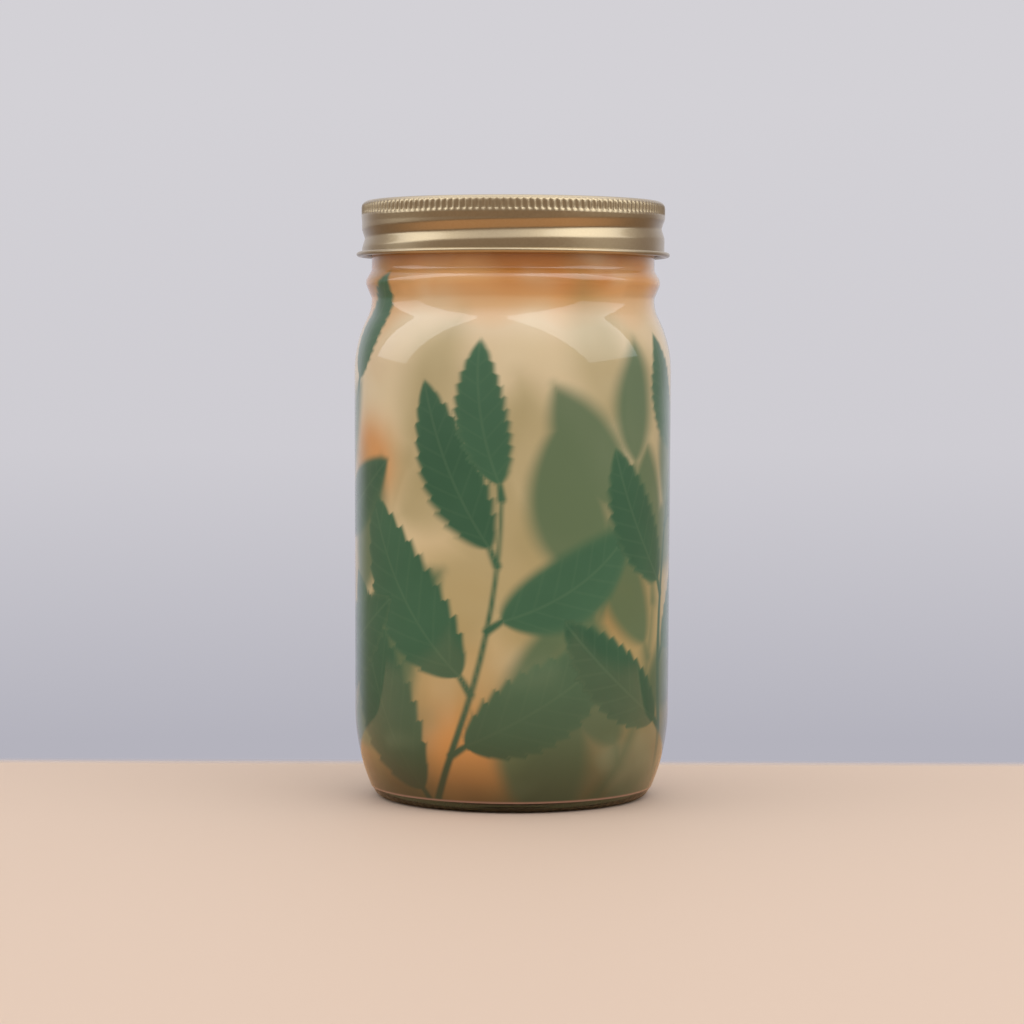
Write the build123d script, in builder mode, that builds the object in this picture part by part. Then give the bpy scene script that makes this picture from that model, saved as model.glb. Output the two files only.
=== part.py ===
from build123d import *
from math import radians, tan
import os

# Hydroponic jar planter, in mm, +Z up, the jar's base on z = 0.

# Glass jar
jar_height = 172.0
finish_radius = 41.1  # the neck that the band screws on
glass_wall = 3.0
shoulder_step = 5.0  # how far the body stands out past the neck
shoulder_angle = 26  # degrees from upright
shoulder_fill = 0.9  # share of the sloping line taken up by its two arcs
shoulder_share = 0.75  # share of that for the lower, outward arc
neck_drop = 29.4  # rim down to the corner under the neck
body_draft = 0.35  # how much narrower the body is at the heel
heel_rise = 14.8
heel_angle = 22  # degrees from upright
heel_round = 58.0
base_round = 3.6
bearing_width = 5.0  # ring that the jar stands on
push_up = 2.4  # hollow under the base
floor_thickness = 5.2
floor_dome = 2.2
bead_drop = 21.5  # rim down to the middle of the neck bead
bead_step = 1.95
bead_rise = 3.3  # middle of the bead up to the neck
bead_fall = 4.6
bead_round = 2.6
bead_foot = 2.2  # round where the bead meets the neck
rim_round = 1.0

# Printed film on the outside of the glass
film = 0.25
film_gap = 0.05
film_bottom = 3.0
film_drop = 12.5  # rim down to the film's top edge

# Lid stack
sheet = 0.3
seal = 1.0
flange = 0.4  # the net pot's metal
disc_gap = 1.05  # between the disc's edge and the band
disc_lip = 1.2
panel_drop = 0.8
panel_gap = 3.0  # between the panel and the seal
seal_width = 3.6

# Screw band
thread_room = 2.8  # between the neck and the inside of the band
band_height = 15.5  # top face to the middle of the hem
band_lap = 0.1  # how far the band's top reaches in over the mouth
band_round = 1.9  # rolled top edge
groove_drop = 9.2  # top face to the middle of the thread groove
groove_depth = 0.85
groove_half = 2.5
groove_round = 1.5
hem_half_width = 0.95
hem_half_height = 0.75
knurl_count = 148
knurl_depth = 0.3
knurl_width = 0.95
knurl_drop = 1.9
knurl_height = 2.2

# Net pot
pot_gap = 0.8  # between the pot and the mouth
pot_floor_radius = 29.5
pot_depth = 58.0
pot_flange_inset = 0.2  # from the edge of the jar's rim
pot_round = 1.2
pot_floor_round = 3.5
slots_around = 12
slot_length = 26.0
slot_width = 3.6
slot_drop = 32.0  # rim down to the middle of the slots
drain_radius = 19.0
drain_diameter = 5.0
drain_angles = (60, 90, 120, 240, 270, 300)

# Wick
wick_width = 20.0
wick_thickness = 2.0
wick_spread = 13.0  # middle of each tail from the jar's axis
wick_bend = 2.0
wick_end = 26.0
wick_slot = 4.0

# Coir plug
plug_height = 33.0
plug_gap = 0.3
plug_round = 3.0

# Loose packets on the jar's floor
packet_length = 58.0
packet_width = 44.0
packet_thickness = 1.0
packet_flap = 12.0
packet_flap_thickness = 0.4
sachet_length = 54.0
sachet_width = 42.0
sachet_seam = 6.0
sachet_film = 0.4
sachet_crown = 2.6
sachet_crown_inset = 5.0

# Places worked out from the sizes above
shoulder_tangent = tan(radians(shoulder_angle))
shoulder_half = tan(radians(shoulder_angle / 2))
heel_tangent = tan(radians(heel_angle))
heel_half = tan(radians(heel_angle / 2))
body_radius = finish_radius + shoulder_step
foot_radius = body_radius - body_draft
base_radius = foot_radius - heel_rise * heel_tangent
bore_radius = finish_radius - glass_wall
neck_z = jar_height - neck_drop
shoulder_z = neck_z - shoulder_step / shoulder_tangent
shoulder_line = (shoulder_step**2 + (neck_z - shoulder_z) ** 2) ** 0.5 * shoulder_fill
shoulder_round = shoulder_line * shoulder_share / shoulder_half
neck_round = shoulder_line * (1 - shoulder_share) / shoulder_half
bead_z = jar_height - bead_drop
film_top = jar_height - film_drop
band_radius = finish_radius + thread_room + sheet
band_opening = bore_radius - band_lap
disc_radius = band_radius - sheet - disc_gap
panel_radius = finish_radius - seal_width - panel_gap
pot_radius = bore_radius - pot_gap
pot_flange_radius = finish_radius - pot_flange_inset
inner_heel_z = heel_rise + glass_wall * heel_half
floor_radius = foot_radius - glass_wall - (inner_heel_z - floor_thickness) * heel_tangent
floor_top = floor_thickness + floor_dome
flange_top = jar_height + flange
seal_top = flange_top + seal
disc_top = seal_top + sheet
band_top = disc_top + sheet
hem_z = band_top - band_height
groove_z = band_top - groove_drop
pot_bottom = jar_height - pot_depth
pot_floor = pot_bottom + flange
pot_taper = (pot_radius - pot_floor_radius) / pot_depth
wick_top = pot_floor + wick_thickness

# Outside of the glass, from the bearing ring up to the rim, with a radius for each corner between
glass_outside = [
    (base_radius, 0),
    (foot_radius, heel_rise),
    (body_radius, shoulder_z),
    (finish_radius, neck_z),
    (finish_radius, bead_z - bead_fall),
    (finish_radius + bead_step, bead_z),
    (finish_radius, bead_z + bead_rise),
    (finish_radius, jar_height),
]
glass_rounds = [heel_round, shoulder_round, neck_round, bead_foot, bead_round, bead_foot]

os.makedirs("parts", exist_ok=True)


# One closed wall of blown glass: hollow base, heel, body, shoulder, neck bead and rim
with BuildPart() as glass_jar:
    with BuildSketch(Plane.XZ):
        with BuildLine():
            wall_line = FilletPolyline(
                (0, push_up),
                (base_radius - bearing_width - push_up, push_up),
                (base_radius - bearing_width, 0),
                *glass_outside,
                (bore_radius, jar_height),
                (bore_radius, neck_z - glass_wall * shoulder_half),
                (body_radius - glass_wall, shoulder_z - glass_wall * shoulder_half),
                (foot_radius - glass_wall, inner_heel_z),
                (floor_radius, floor_thickness),
                (0, floor_top),
                radius=[
                    base_round / 2,
                    base_round / 4,
                    base_round,
                    *glass_rounds,
                    rim_round,
                    rim_round,
                    neck_round + glass_wall,
                    shoulder_round - glass_wall,
                    heel_round / 2,  # ends above the corner of the floor
                    base_round,
                ],
            )
            Line(wall_line @ 1, wall_line @ 0)
        make_face()
    revolve(axis=Axis.Z)
glass_jar.part.label = "glass_jar"
export_step(glass_jar.part, "parts/glass_jar.step")


# Thin film that follows the glass from the heel up to the neck
with BuildSketch() as glass_section:
    with BuildLine():
        outside_line = FilletPolyline(*glass_outside, radius=glass_rounds)
        Polyline(outside_line @ 1, (0, jar_height), (0, 0), outside_line @ 0)
    make_face()
with BuildPart() as printed_sleeve:
    with BuildSketch(Plane.XZ):
        offset(glass_section.sketch, amount=film_gap + film, mode=Mode.ADD)
        offset(glass_section.sketch, amount=film_gap, mode=Mode.SUBTRACT)
        with Locations((body_radius, (film_bottom + film_top) / 2)):
            Rectangle(body_radius, film_top - film_bottom, mode=Mode.INTERSECT)
    revolve(axis=Axis.Z)
printed_sleeve.part.label = "printed_sleeve"
export_step(printed_sleeve.part, "parts/printed_sleeve.step")


# Sheet-metal band with an open top, a formed thread groove, a curled hem and knurls
with BuildPart() as screw_band:
    with BuildSketch(Plane.XZ):
        with BuildLine():
            FilletPolyline(
                (band_opening, band_top),
                (band_radius, band_top),
                (band_radius, groove_z + groove_half),
                (band_radius - groove_depth, groove_z),
                (band_radius, groove_z - groove_half),
                (band_radius, hem_z),
                radius=[band_round, groove_round, groove_round, groove_round],
            )
            offset(amount=sheet, side=Side.RIGHT)
        make_face()
        with Locations((band_radius - sheet + hem_half_width, hem_z)):
            Ellipse(hem_half_width, hem_half_height)
    revolve(axis=Axis.Z)
    with BuildSketch(Plane.XY.offset(band_top - knurl_drop)):
        Circle(band_radius)
        with PolarLocations(band_radius, knurl_count):
            Rectangle(2 * knurl_depth, knurl_width)
        Circle(band_radius - sheet, mode=Mode.SUBTRACT)
    extrude(amount=-knurl_height)
screw_band.part.label = "screw_band"
export_step(screw_band.part, "parts/screw_band.step")


# Pressed lid: a flat rim on the seal, a lower panel and a turned-down lip
with BuildPart() as lid_disc:
    with BuildSketch(Plane.XZ):
        with BuildLine():
            FilletPolyline(
                (0, disc_top - panel_drop),
                (panel_radius, disc_top - panel_drop),
                (panel_radius + panel_drop, disc_top),
                (disc_radius, disc_top),
                (disc_radius, disc_top - disc_lip),
                radius=2 * sheet,
            )
            offset(amount=sheet, side=Side.RIGHT)
        make_face()
    revolve(axis=Axis.Z)
lid_disc.part.label = "lid_disc"
export_step(lid_disc.part, "parts/lid_disc.step")


# Soft ring between the pot's flange and the lid
with BuildPart() as sealing_ring:
    with BuildSketch(Plane.XZ):
        with Locations((finish_radius - seal_width / 2, flange_top + seal / 2)):
            RectangleRounded(seal_width, seal, seal / 4)
    revolve(axis=Axis.Z)
sealing_ring.part.label = "sealing_ring"
export_step(sealing_ring.part, "parts/sealing_ring.step")


# One wall slot of the pot, cut outwards from the axis
with BuildPart() as wall_slot:
    with BuildSketch(Plane.YZ):
        SlotOverall(slot_length, slot_width, rotation=90)
    extrude(amount=pot_flange_radius)


# Drawn cup with a flange, a row of slots, drain holes and two slots for the wick
with BuildPart() as net_pot:
    with BuildSketch(Plane.XZ):
        with BuildLine():
            FilletPolyline(
                (0, pot_bottom),
                (pot_floor_radius, pot_bottom),
                (pot_radius, jar_height),
                (pot_flange_radius, jar_height),
                radius=[pot_floor_round, pot_round],
            )
            offset(amount=flange, side=Side.LEFT)
        make_face()
    revolve(axis=Axis.Z)
    with Locations((0, 0, jar_height - slot_drop)):
        with PolarLocations(0, slots_around):
            add(wall_slot.part, mode=Mode.SUBTRACT)
    with BuildSketch(Plane.XY.offset(pot_bottom)):
        for angle in drain_angles:
            with PolarLocations(drain_radius, 1, start_angle=angle):
                Circle(drain_diameter / 2)
        with Locations((wick_spread, 0), (-wick_spread, 0)):
            Rectangle(wick_slot, wick_width + wick_thickness)
    extrude(amount=flange, mode=Mode.SUBTRACT)
net_pot.part.label = "net_pot"
export_step(net_pot.part, "parts/net_pot.step")


# Felt strip that lies across the pot's floor and hangs down through both slots
with BuildPart() as wick:
    with BuildSketch(Plane.XZ):
        with BuildLine():
            FilletPolyline(
                (-wick_spread - wick_thickness / 2, wick_end),
                (-wick_spread - wick_thickness / 2, wick_top),
                (wick_spread + wick_thickness / 2, wick_top),
                (wick_spread + wick_thickness / 2, wick_end),
                radius=wick_bend + wick_thickness / 2,
            )
            offset(amount=wick_thickness, side=Side.RIGHT)
        make_face()
    extrude(amount=wick_width / 2, both=True)
wick.part.label = "wick"
export_step(wick.part, "parts/wick.step")


# Coir plug that fills the lower pot
with BuildPart() as grow_plug:
    plug_bottom_radius = pot_floor_radius + (wick_top - pot_bottom) * pot_taper - flange - plug_gap
    plug_top_radius = plug_bottom_radius + plug_height * pot_taper
    with Locations((0, 0, wick_top)):
        Cone(
            plug_bottom_radius,
            plug_top_radius,
            plug_height,
            align=(Align.CENTER, Align.CENTER, Align.MIN),
        )
    fillet(grow_plug.edges().group_by(Axis.Z)[0], plug_round)
grow_plug.part.label = "grow_plug"
export_step(grow_plug.part, "parts/grow_plug.step")


# Flat paper packet with its flap folded over
with BuildPart() as seed_packet:
    with BuildSketch(Plane.XY.offset(floor_top)):
        RectangleRounded(packet_width, packet_length, packet_thickness)
    extrude(amount=packet_thickness)
    with BuildSketch(Plane.XY.offset(floor_top + packet_thickness)):
        with Locations((0, (packet_length - packet_flap) / 2)):
            Rectangle(packet_width - 2 * packet_thickness, packet_flap)
    extrude(amount=packet_flap_thickness)
seed_packet.part.label = "seed_packet"
export_step(seed_packet.part, "parts/seed_packet.step")


# Filled sachet: flat seams round a crowned middle, the same above and below
sachet_z = floor_top + packet_thickness + packet_flap_thickness + sachet_crown
with BuildPart() as nutrient_sachet:
    with BuildSketch(Plane.XY.offset(sachet_z)):
        Rectangle(sachet_width, sachet_length)
    extrude(amount=sachet_film / 2, both=True)
    for lift in (sachet_crown, -sachet_crown):
        with BuildSketch(Plane.XY.offset(sachet_z)):
            RectangleRounded(sachet_width - 2 * sachet_seam, sachet_length - 2 * sachet_seam, sachet_seam)
        with BuildSketch(Plane.XY.offset(sachet_z + lift)):
            crown_inset = sachet_seam + sachet_crown_inset
            RectangleRounded(sachet_width - 2 * crown_inset, sachet_length - 2 * crown_inset, sachet_seam / 2)
        loft()
nutrient_sachet.part.label = "nutrient_sachet"
export_step(nutrient_sachet.part, "parts/nutrient_sachet.step")
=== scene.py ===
import math
import bmesh
import bpy
import numpy as np
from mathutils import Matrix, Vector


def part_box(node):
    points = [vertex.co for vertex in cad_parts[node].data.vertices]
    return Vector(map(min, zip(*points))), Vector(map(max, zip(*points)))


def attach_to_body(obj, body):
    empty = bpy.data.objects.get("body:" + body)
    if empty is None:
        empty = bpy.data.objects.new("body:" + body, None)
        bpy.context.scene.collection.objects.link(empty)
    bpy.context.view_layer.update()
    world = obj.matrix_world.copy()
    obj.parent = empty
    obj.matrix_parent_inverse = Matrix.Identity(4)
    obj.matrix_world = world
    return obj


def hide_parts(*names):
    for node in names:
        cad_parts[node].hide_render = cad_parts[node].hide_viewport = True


# Hydroponic jar planter: glass jar in a printed film sleeve, gold screw lid, net pot, wick and plug
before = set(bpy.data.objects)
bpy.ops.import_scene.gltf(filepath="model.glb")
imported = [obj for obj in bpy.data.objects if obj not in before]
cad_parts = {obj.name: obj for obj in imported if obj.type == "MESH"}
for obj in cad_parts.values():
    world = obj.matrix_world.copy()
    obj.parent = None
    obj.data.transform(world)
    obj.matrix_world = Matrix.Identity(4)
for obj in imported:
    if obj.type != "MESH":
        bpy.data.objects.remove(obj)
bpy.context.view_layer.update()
scene = bpy.context.scene
print("frame loaded, nodes:", len(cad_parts))


# Paths and meshes

def smoothStep(low, high, value):
    t = np.clip((value - low) / (high - low), 0.0, 1.0)
    return t * t * (3 - 2 * t)


def unit(vectors):
    return vectors / np.linalg.norm(vectors, axis=-1, keepdims=True)


def ringAngles(segments):
    return np.arange(segments) * math.tau / segments


def roundedPath(corners, arcSteps=12):
    # path of (radius, height) points through corners that also say their rounding, unused at both ends
    corners = np.array(corners)
    places = corners[:, :2]
    points = [places[0]]
    for before, corner, after, radius in zip(places, places[1:], places[2:], corners[1:, 2]):
        back = unit(before - corner)
        ahead = unit(after - corner)
        half = math.acos(float(np.clip(back @ ahead, -1, 1))) / 2
        centre = corner + unit(back + ahead) * radius / math.sin(half)
        first = corner + back * radius / math.tan(half) - centre
        last = corner + ahead * radius / math.tan(half) - centre
        turn = math.pi - 2 * half
        for t in np.linspace(0, 1, arcSteps + 1):
            weightA = math.sin((1 - t) * turn) / math.sin(turn)
            weightB = math.sin(t * turn) / math.sin(turn)
            points.append(centre + first * weightA + last * weightB)
    return np.array([*points, places[-1]])


def pathLengths(path):
    steps = np.linalg.norm(np.diff(path, axis=0), axis=1)
    return np.concatenate([[0.0], np.cumsum(steps)])


def resample(path, spacing):
    # spacing is a length, or a function of a point's radius and height
    lengths = pathLengths(path)

    def at(where):
        return [np.interp(where, lengths, column) for column in path.T]

    places = [0.0]
    while places[-1] < lengths[-1]:
        step = spacing(at(places[-1])) if callable(spacing) else spacing
        places.append(places[-1] + step)
    places = np.array(places) * lengths[-1] / places[-1]
    return np.stack(at(places), axis=1)


def offsetPath(path, distance):
    # moves an upward path outwards, square to itself
    along = unit(np.gradient(path, axis=0))
    return path + distance * np.stack([along[:, 1], -along[:, 0]], axis=1)


def linked(name, data):
    made = bpy.data.objects.new(name, data)
    scene.collection.objects.link(made)
    return made


def turnOutwards(mesh):
    build = bmesh.new()
    build.from_mesh(mesh)
    bmesh.ops.recalc_face_normals(build, faces=build.faces)
    build.to_mesh(mesh)
    build.free()


def meshObject(name, points, faces, finish, sharp=40):
    mesh = bpy.data.meshes.new(name)
    mesh.from_pydata([tuple(p) for p in points], [], faces)
    turnOutwards(mesh)
    mesh.shade_smooth()
    mesh.set_sharp_from_angle(angle=math.radians(sharp))
    mesh.materials.append(finish)
    return linked(name, mesh)


def polar(radius, angles, height):
    return np.stack([radius * np.cos(angles), radius * np.sin(angles), height], axis=2)


def quads(rows, cols, closedRows=False, closedCols=False):
    # faces between the rows of a grid of points
    faces = []
    for row in range(rows if closedRows else rows - 1):
        low = row * cols
        high = (row + 1) % rows * cols
        for col in range(cols if closedCols else cols - 1):
            side = (col + 1) % cols
            faces.append((low + col, low + side, high + side, high + col))
    return faces


def lathe(name, outline, segments, finish, warp=None, sharp=40):
    # turns a closed outline round the axis; an outline that starts and ends on the axis gets poles
    angles = ringAngles(segments)
    radius = np.repeat(outline[:, :1], segments, axis=1)
    height = np.repeat(outline[:, 1:], segments, axis=1)
    if warp:
        radius, height = warp(angles[None, :], radius, height)
    grid = polar(radius, angles, height)
    poles = outline[0, 0] == outline[-1, 0] == 0
    rings = grid[1:-1] if poles else grid
    points = rings.reshape(-1, 3)
    faces = quads(len(rings), segments, not poles, True)
    if poles:
        points = np.concatenate([points, grid[0, :1], grid[-1, :1]])
        top = (len(rings) - 1) * segments
        for col in range(segments):
            side = (col + 1) % segments
            faces.append((len(points) - 2, side, col))
            faces.append((len(points) - 1, top + col, top + side))
    return meshObject(name, points, faces, finish, sharp)


def shell(name, front, back, finish, sharp=60):
    # closes two grids of points, front and back, along their edges
    rows, cols = front.shape[:2]
    points = np.concatenate([front.reshape(-1, 3), back.reshape(-1, 3)])
    other = rows * cols
    faces = []
    for face in quads(rows, cols):
        faces += [face, tuple(other + i for i in face[::-1])]
    rim = list(range(cols))
    rim += [row * cols + cols - 1 for row in range(1, rows)]
    rim += [(rows - 1) * cols + col for col in range(cols - 2, -1, -1)]
    rim += [row * cols for row in range(rows - 2, 0, -1)]
    for a, b in zip(rim, rim[1:] + rim[:1]):
        faces.append((a, b, other + b, other + a))
    return meshObject(name, points, faces, finish, sharp)


def slab(name, x, y, upper, lower, finish, sharp):
    return shell(name, np.stack([x, y, upper], 2), np.stack([x, y, lower], 2), finish, sharp)


def flatGrid(low, high, rows, cols):
    # points over a box's plan, and how far each lies inside its edge
    y, x = np.meshgrid(np.linspace(low.y, high.y, rows), np.linspace(low.x, high.x, cols), indexing="ij")
    inset = np.minimum(np.minimum(x - low.x, high.x - x), np.minimum(y - low.y, high.y - y))
    return x, y, inset


# Nodes for materials, the world and repeated shapes

def colour(*levels):
    # screen values from 0 to 255 to linear light, by the sRGB curve
    light = [((c / 255 + 0.055) / 1.055) ** 2.4 if c > 10 else c / 3294.6 for c in levels]
    return (*light, 1.0)


class Nodes:
    # a node tree and a few short ways to add to it
    def __init__(self, tree):
        self.tree = tree

    def feed(self, value, socket):
        # links another node's output, or sets a plain value
        if isinstance(value, bpy.types.NodeSocket):
            self.tree.links.new(value, socket)
        else:
            socket.default_value = value

    def node(self, kind, inputs=None, **settings):
        made = self.tree.nodes.new(kind)
        for key, value in settings.items():
            setattr(made, key, value)
        for label, value in (inputs or {}).items():
            self.feed(value, made.inputs[label])
        return made

    def attribute(self, name):
        return self.node("ShaderNodeAttribute", attribute_name=name).outputs["Fac"]

    def ray(self, kind):
        return self.node("ShaderNodeLightPath").outputs[kind]

    def place(self, kind):
        return self.node("ShaderNodeTexCoord").outputs[kind]

    def split(self, kind):
        return self.node("ShaderNodeSeparateXYZ", {"Vector": self.place(kind)}).outputs

    def noise(self, scale, detail=3.0, rough=0.5, stretch=(1, 1, 1)):
        place = self.node("ShaderNodeMapping", {"Vector": self.place("Object"), "Scale": stretch})
        inputs = {"Scale": scale, "Detail": detail, "Roughness": rough, "Vector": place.outputs["Vector"]}
        return self.node("ShaderNodeTexNoise", inputs).outputs["Fac"]

    def spread(self, value, fromLow, fromHigh, toLow=0.0, toHigh=1.0, curve="LINEAR"):
        inputs = {"Value": value, "From Min": fromLow, "From Max": fromHigh}
        inputs.update({"To Min": toLow, "To Max": toHigh})
        return self.node("ShaderNodeMapRange", inputs, interpolation_type=curve).outputs["Result"]

    def ease(self, *span):
        return self.spread(*span, curve="SMOOTHSTEP")

    def field(self, name, *span):
        return self.ease(self.attribute(name), *span)

    def patches(self, scale, *span, stretch=(1, 1, 1)):
        return self.ease(self.noise(scale, 2.0, stretch=stretch), *span)

    def grainy(self, grain, low=0.0, high=1.0):
        # a noise's usual span, from low to high
        return self.spread(grain, 0.3, 0.7, low, high)

    def maths(self, kind, first, second=0.0):
        return self.node("ShaderNodeMath", {0: first, 1: second}, operation=kind).outputs["Value"]

    def times(self, first, second):
        return self.maths("MULTIPLY", first, second)

    def mix(self, share, first, second):
        made = self.node("ShaderNodeMix", data_type="RGBA")
        sockets = {socket.identifier: socket for socket in made.inputs}
        for label, value in (("Factor_Float", share), ("A_Color", first), ("B_Color", second)):
            self.feed(value, sockets[label])
        return next(o for o in made.outputs if o.identifier == "Result_Color")

    def ramp(self, value, stops):
        made = self.node("ShaderNodeValToRGB", {"Fac": value})
        band = made.color_ramp
        while len(band.elements) < len(stops):
            band.elements.new(0.5)
        for element, (place, shade) in zip(band.elements, stops):
            element.position = place
            element.color = colour(*shade)
        return made.outputs["Color"]


class Finish(Nodes):
    # a material's nodes
    def __init__(self, name):
        self.material = bpy.data.materials.new(name)
        self.material.use_nodes = True
        super().__init__(self.material.node_tree)
        self.shader = self.tree.nodes["Principled BSDF"]

    def set(self, **values):
        for label, value in values.items():
            self.feed(value, self.shader.inputs[label.replace("_", " ")])

    def output(self, kind, value):
        self.feed(value, self.tree.nodes["Material Output"].inputs[kind])

    def flecked(self, grain, first, second):
        return self.mix(self.grainy(grain), colour(*first), colour(*second))

    def bump(self, height, strength, distance):
        inputs = {"Strength": strength, "Distance": distance, "Height": height}
        self.set(Normal=self.node("ShaderNodeBump", inputs).outputs["Normal"])

    def seenThrough(self, share, shader):
        # the shader, giving way to a clear surface as share goes to 1
        clear = self.node("ShaderNodeBsdfTransparent").outputs["BSDF"]
        both = self.node("ShaderNodeMixShader", {"Fac": share, 1: shader, 2: clear})
        self.output("Surface", both.outputs["Shader"])


class NodeMesh(Nodes):
    # a Geometry Nodes tree with named inputs, and its result as a plain mesh
    def __init__(self, name, kinds):
        self.name = name
        group = bpy.data.node_groups.new(name + "Nodes", "GeometryNodeTree")
        super().__init__(group)
        for way in ("INPUT", "OUTPUT"):
            group.interface.new_socket("Geometry", in_out=way, socket_type="NodeSocketGeometry")
        self.keys = {}
        for label, kind in kinds.items():
            socket = group.interface.new_socket(label, in_out="INPUT", socket_type="NodeSocket" + kind)
            self.keys[label] = socket.identifier
        self.given = self.node("NodeGroupInput").outputs

    def rotation(self, angles):
        return self.node("FunctionNodeEulerToRotation", {"Euler": angles}).outputs["Rotation"]

    def copies(self, points, source, rotation, **more):
        # the source object at each point, as one mesh
        shape = self.node("GeometryNodeObjectInfo", {"Object": source}).outputs["Geometry"]
        inputs = {"Points": points, "Instance": shape, "Rotation": rotation, **more}
        made = self.node("GeometryNodeInstanceOnPoints", inputs).outputs["Instances"]
        return self.node("GeometryNodeRealizeInstances", {"Geometry": made}).outputs["Geometry"]

    def mesh(self, geometry, finish, values, base=None):
        # the evaluated result as a plain object; the carrier and its modifier go
        painted = self.node("GeometryNodeSetMaterial", {"Geometry": geometry, "Material": finish})
        self.node("NodeGroupOutput", {"Geometry": painted.outputs["Geometry"]})
        carrier = linked(self.name + "Carrier", base.data.copy() if base else bpy.data.meshes.new(self.name))
        modifier = carrier.modifiers.new("nodes", "NODES")
        modifier.node_group = self.tree
        for label, value in values.items():
            modifier[self.keys[label]] = value
        view = bpy.context.evaluated_depsgraph_get()
        mesh = bpy.data.meshes.new_from_object(carrier.evaluated_get(view))
        mesh.name = self.name
        carrier.modifiers.clear()
        bpy.data.objects.remove(carrier)
        turnOutwards(mesh)
        return linked(self.name, mesh)


# Outside of the jar, shared by the glass and the film

jar = dict(
    height=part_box("glass_jar")[1].z,
    neckRadius=0.0411,
    wall=0.003,
    shoulderStep=0.005, shoulderAngle=math.radians(26), shoulderFill=0.9, shoulderShare=0.75,
    shoulderReach=0.012,
    neckDrop=0.0294,
    draft=0.00035,
    heelRise=0.0148, heelAngle=math.radians(22), heelRound=0.058, heelReach=0.03,
    baseRound=0.0036,
    bearingWidth=0.005,
    pushUp=0.0024,
    floor=0.0052, floorDome=0.0022,
    beadDrop=0.0215, beadStep=0.00195, beadRise=0.0033, beadFall=0.0046, beadRound=0.0026,
    beadFoot=0.0022,
    rimRound=0.001,
)
bodyRadius = jar["neckRadius"] + jar["shoulderStep"]
footRadius = bodyRadius - jar["draft"]
heelSlope = math.tan(jar["heelAngle"])
baseRadius = footRadius - jar["heelRise"] * heelSlope
bearingRadius = baseRadius - jar["bearingWidth"]
boreRadius = jar["neckRadius"] - jar["wall"]
neckZ = jar["height"] - jar["neckDrop"]
shoulderZ = neckZ - jar["shoulderStep"] / math.tan(jar["shoulderAngle"])
shoulderHalf = math.tan(jar["shoulderAngle"] / 2)
shoulderLine = math.hypot(jar["shoulderStep"], neckZ - shoulderZ) * jar["shoulderFill"]
shoulderRound = shoulderLine * jar["shoulderShare"] / shoulderHalf
neckRound = shoulderLine * (1 - jar["shoulderShare"]) / shoulderHalf
beadZ = jar["height"] - jar["beadDrop"]
beadTop = beadZ + jar["beadRise"]
outsideCorners = [
    (baseRadius, 0.0, jar["baseRound"]),
    (footRadius, jar["heelRise"], jar["heelRound"]),
    (bodyRadius, shoulderZ, shoulderRound),
    (jar["neckRadius"], neckZ, neckRound),
    (jar["neckRadius"], beadZ - jar["beadFall"], jar["beadFoot"]),
    (jar["neckRadius"] + jar["beadStep"], beadZ, jar["beadRound"]),
    (jar["neckRadius"], beadTop, jar["beadFoot"]),
    (jar["neckRadius"], jar["height"], jar["rimRound"]),
]


def onStraight(z):
    # between the roundings of heel and shoulder
    return jar["heelReach"] < z < shoulderZ - jar["shoulderReach"]


# Glass jar: one closed wall, with the neck's thread and the dashes round the bearing ring

glassForm = dict(
    segments=384,
    threadHeight=0.0017,
    thread=dict(
        start=math.radians(40), turns=1.25, lowZ=0.1622,
        lead=0.00635, half=0.0013, fade=math.radians(20),
    ),
    dashes=96,
    dashDepth=0.0004, dashTop=0.0018, dashFade=(0.4, 1.0), dashGain=1.5,
    floorInset=0.006,
    heelTop=0.009,
    rows=dict(floor=0.003, thread=0.00055, heel=0.0007, neck=0.0008, body=0.006, bend=0.0018),
)


def clearGlass():
    f = Finish("clearGlass")
    f.set(Base_Color=colour(250, 250, 247), Transmission_Weight=1.0, IOR=1.52, Roughness=0.01)
    depth = f.node("ShaderNodeVolumeAbsorption", {"Color": (0.24, 0.22, 0.0, 1.0), "Density": 48.0})
    f.output("Volume", depth.outputs["Volume"])
    return f.material


def roundRidge(away):
    return 0.5 + 0.5 * np.cos(math.pi * np.clip(away, 0, 1))


def veeRidge(away, crest=0.012, foot=0.006):
    # straight flanks, with a small round at the crest and at the feet
    top = math.sqrt(crest)
    flank = 1 - (np.sqrt(away**2 + crest) - top) / (math.sqrt(1 + crest) - top)
    return (flank + np.sqrt(flank**2 + foot)) / 2


def helixBump(angles, heights, ridge, start, turns, lowZ, lead, half, fade):
    # 0 to 1 over a ridge that climbs anticlockwise and runs out at both ends
    found = np.zeros(np.broadcast(angles, heights).shape)
    for lap in range(3):
        run = angles + math.tau * lap - start
        ends = smoothStep(0, 1, np.minimum(run, turns * math.tau - run) / fade)
        centre = lowZ + lead * run / math.tau
        found = np.maximum(found, ends * ridge(np.abs(heights - centre) / half))
    return found


def glassWarp(angles, radius, height):
    f = glassForm
    neckOnly = (radius > boreRadius + jar["wall"] / 2) & (height > beadTop)
    radius = radius + neckOnly * helixBump(angles, height, roundRidge, **f["thread"]) * f["threadHeight"]
    low = 1 - smoothStep(*f["dashFade"], height / f["dashTop"])
    dash = np.clip(np.cos(angles * f["dashes"]) * f["dashGain"], 0, 1)
    outer = radius > baseRadius - jar["baseRound"]
    return radius - low * outer * dash * f["dashDepth"], height


def glassStep(point):
    # close rows at the thread and the heel, wide ones on the floor and the straight body
    radius, z = point
    rows = glassForm["rows"]
    if radius < bearingRadius - glassForm["floorInset"]:
        return rows["floor"]
    if z > beadTop:
        return rows["thread"]
    if z < glassForm["heelTop"]:
        return rows["heel"]
    if z > neckZ:
        return rows["neck"]
    return rows["body"] if onStraight(z) else rows["bend"]


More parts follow.
